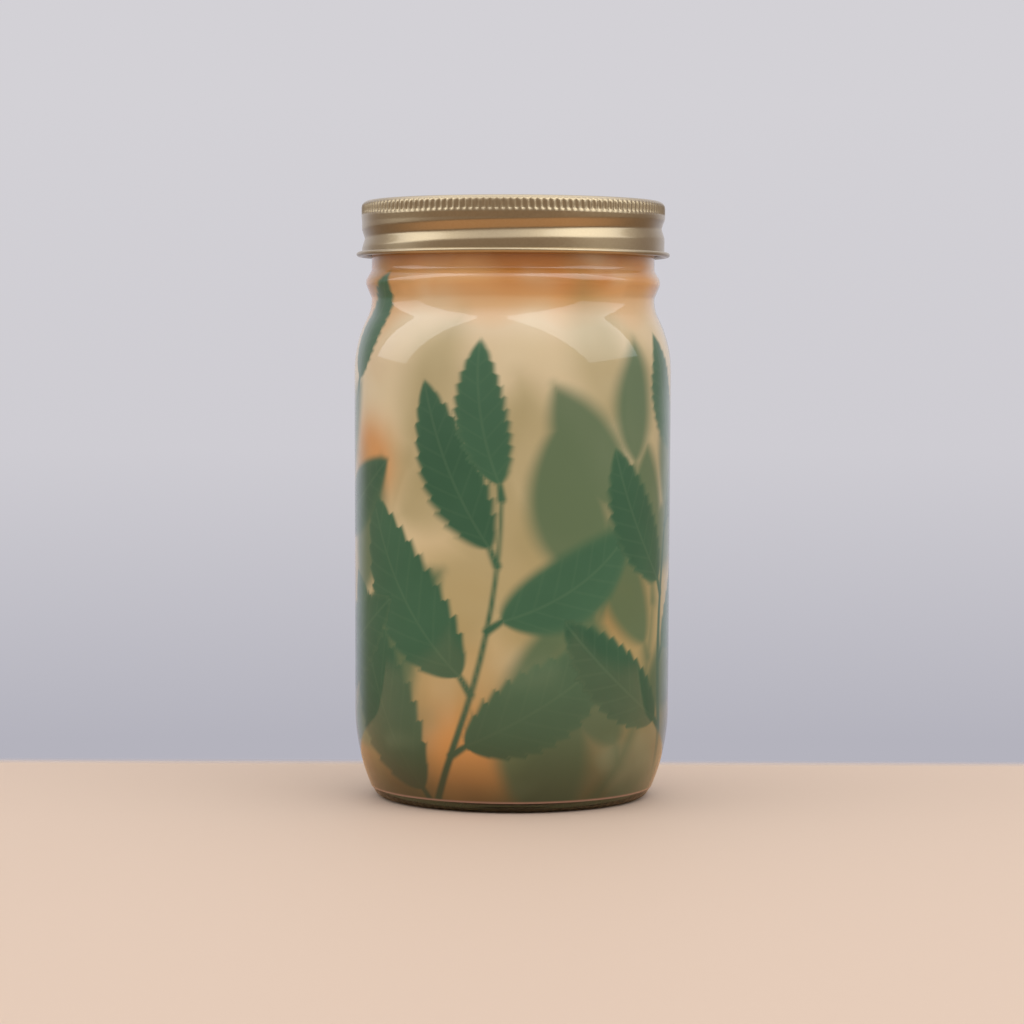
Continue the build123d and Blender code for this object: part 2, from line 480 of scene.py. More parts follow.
def makeGlass(finish):
    wall = jar["wall"]
    innerHeelZ = jar["heelRise"] + wall * math.tan(jar["heelAngle"] / 2)
    floorRadius = footRadius - wall - (innerHeelZ - jar["floor"]) * heelSlope
    corners = [
        (0.0, jar["pushUp"], 0.0),
        (bearingRadius - jar["pushUp"], jar["pushUp"], jar["baseRound"] / 2),
        (bearingRadius, 0.0, jar["baseRound"] / 4),
        *outsideCorners,
        (boreRadius, jar["height"], jar["rimRound"]),
        (boreRadius, neckZ - wall * shoulderHalf, neckRound + wall),
        (bodyRadius - wall, shoulderZ - wall * shoulderHalf, shoulderRound - wall),
        (footRadius - wall, innerHeelZ, jar["heelRound"] / 2),
        (floorRadius, jar["floor"], jar["baseRound"]),
        (0.0, jar["floor"] + jar["floorDome"], 0.0),
    ]
    outline = resample(roundedPath(corners), glassStep)
    outline[[0, -1], 0] = 0.0
    return lathe("glassJar", outline, glassForm["segments"], finish, glassWarp, sharp=60)


# Printed film: leaf sprigs in three depths on a warm wash, laid out flat in mm round the jar and up it; the
# wash's deep orange at the neck is painted shade under the lid and a painted reflection of the lid

filmForm = dict(
    segments=360,
    gap=0.00005,
    thickness=0.00025,
    edge=0.0005,
    pathStep=0.0002,
    outerRows=(0.0004, 0.00086, 0.00086),
    innerRows=(0.0008, 0.008, 0.002),
    # print ground by height up the film, darker towards the bottom; the deep orange top stops are painted
    # shade under the lid and a painted reflection of the lid
    groundAndNeckShade=[
        (0.0, (140, 104, 56)),
        (0.14, (178, 143, 88)),
        (0.32, (204, 177, 127)),
        (0.55, (213, 191, 149)),
        (0.76, (212, 192, 153)),
        (0.86, (212, 188, 150)),
        (0.94, (214, 160, 102)),
        (1.0, (190, 122, 56)),
    ],
    warmSpots=[(-14, 12, 17), (34, 58, 13), (-50, 96, 15), (92, 18, 17), (150, 40, 17), (-110, 30, 17)],
)
leafForm = dict(
    teeth=12,
    bite=0.055,
    stagger=0.4,
    toothSet=0.6,
    toothedFrom=(0.04, 0.2), toothedTo=(0.8, 0.97),
    breadth=0.99,
    rootPower=0.62,
    tipPower=0.82,
    veins=8.0,
    veinSlant=0.16,
    stalk=0.1,
    firstLeaf=0.7,
    tipHand=0.2,
    size=(1.14, 0.42), sizeSpread=(0.88, 1.1),
    angle=(50, 16), angleSpread=(-9, 9),
    widthSpread=(0.86, 1.08),
    bow=(0.08, 0.34),
    blurShare=0.25,
    crisp=(0.75, 1.5),
    blurred=(1.5, 2.4),
    stemSteps=14, stemTaper=(1.2, 0.7), stemSoft=0.7,
)

# each sprig: root place, heading and bend in degrees, stem length, leaves, leaf length and width
sprigLayers = dict(
    near=dict(stem=1.1, seed=5, sprigs=[
        ((-32, -14), 60, 30, 106, 5, 60, 34),
        ((56, 6), 100, -40, 112, 5, 46, 27),
        ((-88, -8), 92, -32, 130, 5, 46, 27),
        ((112, -10), 84, 30, 118, 5, 56, 32),
        ((-128, -8), 100, -34, 112, 5, 54, 31),
    ]),
    mid=dict(stem=2.0, seed=6, sprigs=[
        ((6, -22), 40, 46, 92, 5, 58, 38),
        ((-66, -14), 96, -30, 70, 4, 54, 34),
        ((24, 50), 58, 26, 46, 3, 46, 30),
        ((88, 46), 78, 30, 70, 4, 50, 32),
        ((-104, 58), 70, 34, 66, 4, 50, 32),
        ((146, 28), 104, -40, 80, 5, 52, 32),
    ]),
    far=dict(stem=3.0, seed=7, sprigs=[
        ((4, 26), 46, 50, 84, 4, 62, 40),
        ((-48, 4), 96, -34, 96, 4, 62, 40),
        ((72, -6), 84, 30, 104, 4, 62, 40),
        ((-104, -8), 80, 36, 104, 4, 62, 40),
        ((138, 4), 72, 40, 104, 4, 62, 40),
    ]),
)
mm = 1000  # in a metre
around = math.tau * bodyRadius * mm
farOff = 99.0


def wrapped(distance):
    return (distance + around / 2) % around - around / 2


def leafPlace(across, up, leaf):
    # mm outside a bowed, toothed leaf (negative inside), share of the way along it, mm off its midrib
    f = leafForm
    turn = leaf["heading"]
    length = leaf["length"]
    side = wrapped(across - leaf["x"])
    rise = up - leaf["y"]
    along = side * math.cos(turn) + rise * math.sin(turn)
    t = np.clip(along / length, 0, 1)
    off = rise * math.cos(turn) - side * math.sin(turn) - leaf["bow"] * length * t * (1 - t)
    tooth = (t * f["teeth"] + f["stagger"] * (off > 0)) % 1 - f["toothSet"]
    toothed = smoothStep(*f["toothedFrom"], t) * (1 - smoothStep(*f["toothedTo"], t))
    half = leaf["width"] * f["breadth"] * t ** f["rootPower"] * (1 - t) ** f["tipPower"]
    outside = np.abs(off) - half - tooth * toothed * leaf["width"] * leaf["bite"]
    beyond = np.maximum(np.maximum(-along, along - length), 0)
    return np.hypot(np.maximum(outside, 0), beyond) + np.minimum(outside, 0) * (beyond == 0), t, off


def stemDistance(across, up, xs, ys, radius):
    thick, taper = leafForm["stemTaper"]
    nearest = np.full(across.shape, farOff)
    for i in range(len(xs) - 1):
        stepX = xs[i + 1] - xs[i]
        stepY = ys[i + 1] - ys[i]
        side = wrapped(across - xs[i])
        rise = up - ys[i]
        t = np.clip((side * stepX + rise * stepY) / (stepX**2 + stepY**2), 0, 1)
        gone = (i + t) / (len(xs) - 1)
        away = np.hypot(side - t * stepX, rise - t * stepY)
        nearest = np.minimum(nearest, away - radius * (thick - taper * gone))
    return nearest


def growSprigs(layer, sharp):
    # the stems' points, and the leaves in the order in which they lie over each other
    f = leafForm
    dice = np.random.default_rng(layer["seed"])
    steps = f["stemSteps"]
    shares = np.linspace(0, 1, steps + 1)
    stems = []
    leaves = []
    for (x, y), heading, bend, length, count, leafLength, leafWidth in layer["sprigs"]:
        turns = np.radians(heading + bend * shares)
        xs = x + np.concatenate([[0], np.cumsum(np.cos(turns[:-1]))]) * length / steps
        ys = y + np.concatenate([[0], np.cumsum(np.sin(turns[:-1]))]) * length / steps
        stems.append((xs, ys))
        for k in range(count + 1):
            t = (k + f["firstLeaf"]) / (count + f["firstLeaf"])
            hand = f["tipHand"] if k == count else (-1) ** k
            size = (f["size"][0] - f["size"][1] * t) * dice.uniform(*f["sizeSpread"])
            spread = f["angle"][0] - f["angle"][1] * t + dice.uniform(*f["angleSpread"])
            turn = np.interp(t, shares, turns) + math.radians(spread) * hand
            rootX = np.interp(t, shares, xs)
            rootY = np.interp(t, shares, ys)
            stalk = leafLength * size * f["stalk"]
            blurred = dice.uniform() < f["blurShare"]
            leafX = rootX + stalk * math.cos(turn)
            leafY = rootY + stalk * math.sin(turn)
            stems.append(((rootX, leafX, leafX + leafX - rootX), (rootY, leafY, leafY + leafY - rootY)))
            leaf = {"x": leafX, "y": leafY, "heading": turn, "length": leafLength * size}
            leaf["width"] = leafWidth * size * dice.uniform(*f["widthSpread"])
            leaf["bow"] = dice.uniform(*f["bow"]) * (1 if hand > 0 else -1)
            leaf["soft"] = dice.uniform(*f["blurred" if blurred else "crisp"])
            leaf["bite"] = 0.0 if blurred or not sharp else f["bite"]
            leaf["shade"] = dice.uniform()
            leaves.append(leaf)
    return stems, leaves


def layLeaves(across, up, layer, sharp=False):
    # Edge is the distance from all stems and leaves, Own from the uppermost, in its softness where sharp
    stems, leaves = growSprigs(layer, sharp)
    edge = np.full(across.shape, farOff)
    for xs, ys in stems:
        away = stemDistance(across, up, xs, ys, layer["stem"])
        edge = np.minimum(edge, away / (leafForm["stemSoft"] if sharp else 1))
    found = {"Own": edge, "Along": 0.0, "Off": farOff, "Shade": 0.5}
    for leaf in leaves:
        distance, along, off = leafPlace(across, up, leaf)
        distance = distance / (leaf["soft"] if sharp else 1)
        upper = (distance < 0) | (distance < edge)
        here = {"Own": distance, "Along": along, "Off": off, "Shade": leaf["shade"]}
        found = {key: np.where(upper, here[key], found[key]) for key in found}
        edge = np.minimum(edge, distance)
    return {"Edge": edge, **found}


def filmStep(neck, body, bend):
    # spacing of the film's rows: at the neck, on the straight body and elsewhere
    def step(point):
        if point[1] > neckZ:
            return neck
        return body if onStraight(point[1]) else bend

    return step


def makeFilm(finish):
    f = filmForm
    low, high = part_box("printed_sleeve")
    glass = resample(roundedPath(outsideCorners), f["pathStep"])
    sides = []
    for away, rows in ((f["gap"] + f["thickness"], f["outerRows"]), (f["gap"], f["innerRows"])):
        side = offsetPath(glass, away)
        side = side[(side[:, 1] > low.z) & (side[:, 1] < high.z)]
        sides.append(resample(side, filmStep(*rows)))
    outer, inner = sides
    film = lathe("printedSleeve", np.concatenate([outer, inner[::-1]]), f["segments"], finish, sharp=50)
    up = np.concatenate([pathLengths(outer), pathLengths(inner)[::-1]]) * mm
    across = (ringAngles(f["segments"]) + math.pi / 2 + math.pi) % math.tau - math.pi  # 0 at the front
    acrossGrid, upGrid = np.meshgrid(across * bodyRadius * mm, up)
    warmth = np.zeros(acrossGrid.shape)
    for x, y, reach in f["warmSpots"]:
        spot = np.exp(-((wrapped(acrossGrid - x) / reach) ** 2) - ((upGrid - y) / reach) ** 2)
        warmth = np.maximum(warmth, spot)
    near = layLeaves(acrossGrid, upGrid, sprigLayers["near"], sharp=True)
    fields = {
        **{"leaf" + key: values for key, values in near.items()},
        "leafMid": layLeaves(acrossGrid, upGrid, sprigLayers["mid"])["Edge"],
        "leafFar": layLeaves(acrossGrid, upGrid, sprigLayers["far"])["Edge"],
        "warmSpot": warmth,
        "printHeight": upGrid / up.max(),
        # a band along the film's bottom edge, where a painted reflection on its cut edge goes
        "filmEdgeReflection": np.clip(1 - upGrid / (f["edge"] * mm), 0, 1),
        "filmInside": np.repeat(np.arange(len(up)) >= len(outer), f["segments"]),
    }
    for name, values in fields.items():
        field = film.data.attributes.new(name, "FLOAT", "POINT")
        field.data.foreach_set("value", values.ravel().astype(np.float32))
    return film


def leafTone(f):
    # each near leaf in its own green, paler at its rim, with a faint midrib and side veins
    shade = f.maths("ADD", f.times(f.attribute("leafShade"), 0.6), f.grainy(f.noise(46), 0, 0.4))
    tone = f.mix(shade, colour(44, 86, 61), colour(63, 104, 75))
    tone = f.mix(f.field("leafOwn", -2.2, 0, 0, 0.22), tone, colour(94, 120, 84))
    off = f.maths("ABSOLUTE", f.attribute("leafOff"))
    along = f.times(f.attribute("leafAlong"), leafForm["veins"])
    along = f.maths("SUBTRACT", along, f.times(off, leafForm["veinSlant"]))
    stripe = f.maths("ABSOLUTE", f.maths("SUBTRACT", f.maths("FRACT", along), 0.5))
    veins = f.maths("MAXIMUM", f.ease(off, 0.1, 0.7, 0.15, 0), f.ease(stripe, 0.02, 0.14, 0.07, 0))
    veins = f.times(veins, f.spread(f.attribute("leafOwn"), -0.8, -0.2, 1, 0))
    return f.mix(veins, tone, colour(104, 132, 96))


def printedFilm():
    f = Finish("printedFilm")
    wander = f.spread(f.noise(22, 2.0), 0, 1, -0.16, 0.16)
    height = f.maths("ADD", f.attribute("printHeight"), wander)
    warm = f.field("warmSpot", 0.1, 0.9, 0, 0.9)
    # darker towards the bottom: the near leaves, dark green patches (fewer in the warm spots) and a dark band
    # at the heel
    lower = f.field("printHeight", 0.05, 0.34, 1, 0)
    depths = f.times(f.patches(20, 0.34, 0.6, 0, 0.75), lower)
    depths = f.times(depths, f.spread(warm, 0, 0.9, 1, 0.2))
    focus = f.spread(f.noise(17, 2.0), 0.32, 0.68, 0.5, 1.4)
    edge = f.times(f.attribute("leafEdge"), focus)
    leaf = f.mix(f.times(lower, 0.7), leafTone(f), colour(30, 64, 42))
    mist = f.times(f.patches(38, 0.55, 0.75, 0, 0.35), f.spread(height, 0.1, 0.42, 1, 0))
    heel = f.times(f.field("printHeight", 0.0, 0.13, 1, 0), f.patches(18, 0.4, 0.6, 0.85, 0.5))
    layers = [
        (f.patches(34, 0.5, 0.72, 0, 0.5), colour(220, 202, 166)),  # pale clouds
        (f.patches(27, 0.5, 0.72, 0, 0.45, stretch=(1, 1, 0.7)), colour(150, 136, 86)),  # olive clouds
        (warm, colour(206, 142, 76)),
        (f.field("leafFar", -7, 6, 0.48, 0), colour(146, 134, 84)),
        (f.field("leafMid", -4.0, 3.2, 0.9, 0), colour(76, 106, 74)),
        (depths, colour(48, 72, 48)),
        (f.ease(edge, -1, 0.9, 1, 0), leaf),
        (mist, colour(128, 142, 108)),
        (heel, colour(44, 46, 27)),
        # painted reflection: a thin pinkish line along the film's bottom edge
        (f.spread(f.attribute("filmEdgeReflection"), 0.1, 0.6), colour(146, 110, 92)),
        (f.attribute("filmInside"), colour(204, 196, 180)),
    ]
    # the ground, with painted shade and a painted reflection of the lid at the neck
    tone = f.ramp(height, filmForm["groundAndNeckShade"])
    for share, shade in layers:
        tone = f.mix(share, tone, shade)
    f.set(Base_Color=tone, Roughness=f.grainy(f.noise(160), 0.3, 0.4), IOR=1.25)
    f.set(Coat_Weight=1.0, Coat_Roughness=0.03, Coat_IOR=1.6)
    f.bump(f.noise(55, 2.0), strength=0.05, distance=0.002)
    return f.material


# Gold lacquered sheet

def goldLacquer():
    f = Finish("goldLacquer")
    grain = f.noise(1500)
    f.set(Base_Color=f.flecked(grain, (184, 165, 132), (189, 171, 138)), Metallic=1.0)
    f.set(Roughness=f.grainy(grain, 0.33, 0.39), Coat_Weight=0.6, Coat_Roughness=0.12, Coat_IOR=1.5)
    f.bump(f.noise(2200, 2.0), strength=0.03, distance=0.0002)
    return f.material


# Screw band: rolled top, fluted edge, climbing thread groove and curled hem

bandForm = dict(
    segments=300,
    sheet=0.0003,
    radius=0.0442,
    opening=0.0380,
    rimRadius=0.04432, rimRound=0.002,
    flatInset=0.003,
    seat=0.00039,
    fluteTop=0.0007, fluteBottom=0.0046,
    taper=0.0062, taperRound=0.001,
    hemWide=0.00095, hemTall=0.00075, hemDrop=0.0155,
    skirtInset=0.004,
    grooveDepth=0.0008,
    groove=dict(
        start=math.radians(40), turns=1.2, lowZ=0.1605,
        lead=0.00635, half=0.0027, fade=math.radians(28),
    ),
    points=dict(rim=12, seat=24, hem=36),
    rows=dict(flat=0.0006, skirt=0.0002, inner=0.0003),
)
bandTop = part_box("screw_band")[1].z


def bandWarp(angles, radius, height):
    f = bandForm
    groove = helixBump(angles, height, veeRidge, **f["groove"]) * f["grooveDepth"]
    below = smoothStep(f["fluteBottom"], f["taper"], bandTop - height)
    return radius - groove * below * (radius > f["opening"] + f["skirtInset"]), height


def rimAt(drop):
    # radius of the rolled rim, by how far below the top
    f = bandForm
    left = np.clip(f["rimRound"] - drop, 0, f["rimRound"])
    return f["rimRadius"] - f["rimRound"] + np.sqrt(f["rimRound"] ** 2 - left**2)


def makeBand(finish):
    f = bandForm
    rows = f["rows"]
    top = bandTop
    hemZ = top - f["hemDrop"]
    insideRadius = f["radius"] - f["sheet"]
    hemCentre = np.array([insideRadius + f["hemWide"], hemZ])
    start = math.acos((f["radius"] - hemCentre[0]) / f["hemWide"])
    turns = np.linspace(math.pi / 2, math.asin(1 - f["fluteTop"] / f["rimRound"]), f["points"]["rim"])
    rim = np.stack([np.cos(turns), np.sin(turns)], axis=1) * f["rimRound"]
    rim = rim + np.array([f["rimRadius"] - f["rimRound"], top - f["rimRound"]])
    drops = np.linspace(f["fluteTop"], f["fluteBottom"], f["points"]["seat"])
    seat = np.stack([rimAt(drops) - f["seat"], top - drops], axis=1)
    skirt = [
        (f["rimRadius"], top - f["fluteBottom"], 0.0),
        (f["radius"], top - f["taper"], f["taperRound"]),
        (f["radius"], hemZ + f["hemTall"] * math.sin(start), 0.0),
    ]
    skirt = resample(roundedPath(skirt, arcSteps=8), rows["skirt"])
    flat = np.array([(f["opening"], top), (f["rimRadius"] - f["flatInset"], top)])
    turns = np.linspace(start, -math.pi, f["points"]["hem"])[1:]
    hem = hemCentre + np.stack([f["hemWide"] * np.cos(turns), f["hemTall"] * np.sin(turns)], axis=1)
    inner = [
        (insideRadius, hemZ, 0.0),
        (insideRadius, top - f["sheet"], f["rimRound"] - f["sheet"]),
        (f["opening"], top - f["sheet"], 0.0),
    ]
    inner = resample(roundedPath(inner, arcSteps=8), rows["inner"])
    outline = np.concatenate([resample(flat, rows["flat"]), rim, seat, skirt, hem, inner[1:]])
    return lathe("screwBand", outline, f["segments"], finish, bandWarp, sharp=50)


# Scooped flutes round the band's upper edge: one tile, copied round

knurlForm = dict(
    count=148,
    columns=6,
    drops=(0.0007, 0.0011, 0.0015, 0.002, 0.0028, 0.0035, 0.0038, 0.0041, 0.0046),
    backRows=[-1, 3, 0],
    depth=0.00037,
    back=0.0004,
    ledge=(0.0036, 0.0042),
    weld=0.000004,
)


def ringOfCopies(name, copyOf, count, finish):
    n = NodeMesh(name, {"Count": "Int", "Copy": "Object"})
    total = n.given["Count"]
    spots = n.node("GeometryNodeMeshLine", {"Count": total, "Offset": (0, 0, 0)}).outputs["Mesh"]
    index = n.node("GeometryNodeInputIndex").outputs["Index"]
    angle = n.times(n.maths("DIVIDE", index, total), math.tau)
    turn = n.rotation(n.node("ShaderNodeCombineXYZ", {"Z": angle}).outputs["Vector"])
    inputs = {"Geometry": n.copies(spots, n.given["Copy"], turn), "Distance": knurlForm["weld"]}
    ring = n.node("GeometryNodeMergeByDistance", inputs).outputs["Geometry"]
    return n.mesh(ring, finish, {"Count": count, "Copy": copyOf})


def makeKnurl(finish):
    k = knurlForm
    pitch = math.tau / k["count"]
    angles = np.linspace(-0.5, 0.5, k["columns"] + 1) * pitch
    scoop = 0.5 - 0.5 * np.cos(math.tau * angles / pitch)
    drops = np.array(k["drops"])
    depths = 1 - smoothStep(*k["ledge"], drops)
    flutes = bandForm["rimRadius"] - np.outer(depths, scoop) * k["depth"]
    front = np.minimum(flutes, rimAt(drops)[:, None])  # each flute runs out where the rim rolls in
    backDrops = drops[k["backRows"]]
    behind = np.repeat(rimAt(backDrops)[:, None] - k["back"], len(angles), axis=1)
    drops = np.concatenate([drops, backDrops])
    radii = np.concatenate([front, behind])
    heights = np.repeat((bandTop - drops)[:, None], len(angles), axis=1)
    points = polar(radii, angles, heights).reshape(-1, 3)
    faces = quads(*radii.shape, closedRows=True)
    tile = meshObject("knurlTile", points, faces, finish, sharp=60)
    bpy.context.view_layer.update()
    ring = ringOfCopies("bandKnurl", tile, k["count"], finish)
    bpy.data.objects.remove(tile)
    return ring


# Lid disc: flat rim, lower panel and turned-down lip

discForm = dict(
    segments=160,
    radius=0.04285,
    panelRadius=0.0345,
    drop=0.0008,
    sheet=0.0003,
    lip=0.0012,
    round=0.00066,
    row=0.0004,
)


def makeDisc(finish):
    f = discForm
    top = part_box("lid_disc")[1].z
    corners = [
        (0.0, top - f["drop"], 0.0),
        (f["panelRadius"], top - f["drop"], f["round"]),
        (f["panelRadius"] + f["drop"], top, f["round"]),
        (f["radius"], top, f["round"]),
        (f["radius"], top - f["lip"], 0.0),
    ]
    outer = resample(roundedPath(corners, arcSteps=8), f["row"])
    outline = np.concatenate([outer, offsetPath(outer, f["sheet"])[::-1]])
    outline[[0, -1], 0] = 0.0
    return lathe("lidDisc", outline, f["segments"], finish, sharp=50)


# Sealing ring

ringForm = dict(
    segments=160,
    width=0.0036,
    round=0.00028,
    seam=0.00002,
)


def softSeal():
    f = Finish("softSeal")
    f.set(Base_Color=f.flecked(f.noise(260), (226, 222, 212), (240, 237, 228)))
    f.set(Roughness=f.grainy(f.noise(500, 2.0), 0.5, 0.68), Subsurface_Weight=0.2, Subsurface_Scale=0.001)
    f.bump(f.noise(1400, 2.0), strength=0.12, distance=0.0002)
    return f.material


def makeSeal(finish):
    f = ringForm
    low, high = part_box("sealing_ring")
    inside = high.x - f["width"]
    middle = (low.z + high.z) / 2
    corners = [
        (inside, middle, 0.0),
        (inside, low.z, f["round"]),
        (high.x, low.z, f["round"]),
        (high.x, high.z, f["round"]),
        (inside, high.z, f["round"]),
        (inside, middle + f["seam"], 0.0),
    ]
    return lathe("sealingRing", roundedPath(corners, arcSteps=6), f["segments"], finish, sharp=70)


# Net pot: the CAD cup, in brushed steel

def brushedSteel():
    f = Finish("brushedSteel")
    grain = f.noise(240, 4.0, 0.6, stretch=(0.14, 0.14, 12))
    f.set(Base_Color=f.flecked(grain, (190, 190, 189), (212, 212, 210)), Metallic=1.0)
    f.set(Roughness=f.grainy(grain, 0.24, 0.36))
    f.bump(grain, strength=0.08, distance=0.0003)
    return f.material


# Felt wick: a strip across the pot's floor with both tails hanging through it

wickForm = dict(
    width=0.020,
    thickness=0.002,
    spread=0.013,
    bend=0.002,
    wave=0.0007, waveFrom=(0.004, 0.03), wavePitch=150, wavePhases=(0.6, 2.4),
    row=0.0008,
    columns=26,
    edgePower=14, edgeLeast=0.06,
    fuzz=0.00006,
    seed=3,
)


def feltFinish():
    f = Finish("felt")
    fleck = f.noise(900, 4.0, 0.6)
    tone = f.flecked(fleck, (206, 200, 188), (238, 234, 224))
    tone = f.mix(f.spread(f.noise(60), 0.45, 0.75, 0, 0.35), tone, colour(196, 186, 166))
    f.set(Base_Color=tone, Roughness=0.95, Sheen_Weight=0.4)
    f.bump(fleck, strength=0.5, distance=0.0006)
    return f.material


def makeWick(finish):
    f = wickForm
    low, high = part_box("wick")
    middleZ = high.z - f["thickness"] / 2
    spread = f["spread"]
    bend = f["bend"]
    corners = [(-spread, low.z, 0.0), (-spread, middleZ, bend), (spread, middleZ, bend), (spread, low.z, 0.0)]
    route = roundedPath(corners, arcSteps=10)
    length = float(pathLengths(route)[-1])
    route = resample(route, f["row"])
    below = smoothStep(*f["waveFrom"], middleZ - route[:, 1])
    sway = np.sin(route[:, 1] * f["wavePitch"] + np.where(route[:, 0] > 0, *f["wavePhases"]))
    route[:, 0] = route[:, 0] + below * sway * f["wave"]
    along = unit(np.gradient(route, axis=0))
    square = np.stack([-along[:, 1], along[:, 0]], axis=1)
    across = np.linspace(-0.5, 0.5, f["columns"]) * f["width"]
    edge = np.abs(across) / (f["width"] / 2)
    edge = np.sqrt(np.clip(1 - edge ** f["edgePower"], f["edgeLeast"], 1))
    dice = np.random.default_rng(f["seed"])
    y = np.repeat(across[None, :], len(route), axis=0)
    sheets = []
    for hand in (1, -1):
        half = f["thickness"] / 2 * edge[None, :] - dice.uniform(0, f["fuzz"], y.shape)
        x = route[:, :1] + hand * square[:, :1] * half
        z = route[:, 1:] + hand * square[:, 1:] * half
        sheets.append(np.stack([x, y, z], axis=2))
    return shell("feltWick", *sheets, finish), length


# Coir plug: a lumpy tapered plug with a dimple for the seeds and loose fibres

plugForm = dict(
    segments=180,
    row=0.0007,
    bottomRadius=0.0289,
    topRadius=0.0334,
    bottomRound=0.003,
    topRound=0.0022,
    dimpleTop=0.0063, dimpleFloor=0.0027, dimpleDepth=0.006, dimpleRound=0.0012,
    lump=0.0005, lumpWaves=40,
    lumpsRound=(2, 46),
    lumpPitch=700, lumpPhase=6.3, lumpMean=0.55, lumpSwing=0.45, lumpMost=1.4, lumpSeed=8,
    sideFrom=(0.6, 0.9),
    topFrom=(0.001, 0.012), topLump=1.5,
    wallRoom=0.0001,
)
fibreForm = dict(
    length=0.006,
    radius=0.00007,
    bow=0.25,
    thinning=0.7,
    stations=(0.0, 0.35, 0.7, 1.0),
    density=90000,
    seed=2,
    sizes=(0.4, 1.1),
    lean=(1.32, 1.56),
    twist=0.2,
)


def coirFinish():
    f = Finish("coir")
    clump = f.noise(120, 5.0, 0.6)
    strand = f.noise(700, 4.0, 0.65, stretch=(1, 1, 0.5))
    browns = [(0.0, (58, 38, 24)), (0.5, (96, 66, 42)), (0.8, (140, 100, 64)), (1.0, (176, 136, 92))]
    tone = f.ramp(f.spread(strand, 0.25, 0.75), browns)
    tone = f.mix(f.spread(clump, 0.4, 0.7, 0, 0.6), tone, colour(62, 42, 28))
    f.set(Base_Color=tone, Roughness=0.92)
    f.bump(f.maths("ADD", clump, strand), strength=0.8, distance=0.0012)
    return f.material


def makePlug(finish):
    f = plugForm
    low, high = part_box("grow_plug")
    corners = [
        (0.0, low.z, 0.0),
        (f["bottomRadius"], low.z, f["bottomRound"]),
        (f["topRadius"], high.z, f["topRound"]),
        (f["dimpleTop"], high.z, f["dimpleRound"]),
        (f["dimpleFloor"], high.z - f["dimpleDepth"], f["dimpleRound"]),
        (0.0, high.z - f["dimpleDepth"], 0.0),
    ]
    outline = resample(roundedPath(corners, arcSteps=8), f["row"])
    outline[[0, -1], 0] = 0.0
    dice = np.random.default_rng(f["lumpSeed"])
    waves = []
    for _ in range(f["lumpWaves"]):
        count = int(dice.integers(*f["lumpsRound"]))
        pitch = dice.uniform(-f["lumpPitch"], f["lumpPitch"])
        waves.append((count, pitch, dice.uniform(0, f["lumpPhase"])))

    def lumps(angles, radius, height):
        swell = sum(np.cos(k * angles + m * (height + radius) + p) for k, m, p in waves)
        swell = swell / math.sqrt(len(waves))
        dent = np.clip(f["lumpMean"] + f["lumpSwing"] * swell, 0, f["lumpMost"]) * f["lump"]
        side = smoothStep(*f["sideFrom"], radius / f["bottomRadius"])
        flat = smoothStep(*f["topFrom"], radius) * (1 - side) * (height > (low.z + high.z) / 2)
        return radius - dent * side, height - dent * f["topLump"] * flat

    return lathe("growPlug", outline, f["segments"], finish, lumps, sharp=80)


def fibreStrand(finish):
    # a bent three-sided strand that rises from the origin
    f = fibreForm
    points = []
    for t in f["stations"]:
        for angle in ringAngles(3):
            wide = f["radius"] * (1 - f["thinning"] * t)
            x = wide * math.cos(angle) + f["bow"] * f["length"] * t * t
            points.append((x, wide * math.sin(angle), f["length"] * t))
    end = len(points) - 3
    faces = quads(len(f["stations"]), 3, closedCols=True) + [(2, 1, 0), (end, end + 1, end + 2)]
    return meshObject("strand", points, faces, finish, sharp=80)


def scatterFibres(name, base, fibre, finish):
    # fibres on the faces of base, turned at random and leaning between two angles from upright
    f = fibreForm
    kinds = {"Density": "Float", "Seed": "Int", "Smallest": "Float", "Largest": "Float", "Fibre": "Object"}
    n = NodeMesh(name, kinds)
    seed = n.given["Seed"]
    inputs = {"Mesh": n.given["Geometry"], "Density": n.given["Density"], "Seed": seed}
    spots = n.node("GeometryNodeDistributePointsOnFaces", inputs).outputs
    least = (f["lean"][0], -f["twist"], -math.pi)
    most = (f["lean"][1], f["twist"], math.pi)
    dice = n.node("FunctionNodeRandomValue", {0: least, 1: most, "Seed": seed}, data_type="FLOAT_VECTOR")
    inputs = {"Rotation": spots["Rotation"], "Rotate By": n.rotation(dice.outputs["Value"])}
    turn = n.node("FunctionNodeRotateRotation", inputs, rotation_space="LOCAL").outputs["Rotation"]
    inputs = {2: n.given["Smallest"], 3: n.given["Largest"], "Seed": seed}
    size = n.node("FunctionNodeRandomValue", inputs).outputs[1]
    made = n.copies(spots["Points"], n.given["Fibre"], turn, Scale=size)
    values = {"Density": f["density"], "Seed": f["seed"], "Fibre": fibre}
    values["Smallest"], values["Largest"] = f["sizes"]
    return n.mesh(made, finish, values, base)


def pressFibres(fibres):
    # fibres that would cross the pot's wall or floor are pressed against it
    f = plugForm
    low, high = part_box("grow_plug")
    points = np.empty(len(fibres.data.vertices) * 3)
    fibres.data.vertices.foreach_get("co", points)
    points = points.reshape(-1, 3)
    points[:, 2] = np.maximum(points[:, 2], low.z)
    share = (points[:, 2] - low.z) / (high.z - low.z)
    limit = f["bottomRadius"] + share * (f["topRadius"] - f["bottomRadius"]) + f["wallRoom"]
    radius = np.hypot(points[:, 0], points[:, 1])
    points[:, :2] *= (limit / np.maximum(radius, limit))[:, None]
    fibres.data.vertices.foreach_set("co", points.ravel())


def makeFibres(plug, finish):
    strand = fibreStrand(finish)
    bpy.context.view_layer.update()
    fibres = scatterFibres("plugFibres", plug, strand, finish)
    bpy.data.objects.remove(strand)
    pressFibres(fibres)
    return fibres


# Seed packet: a folded kraft envelope

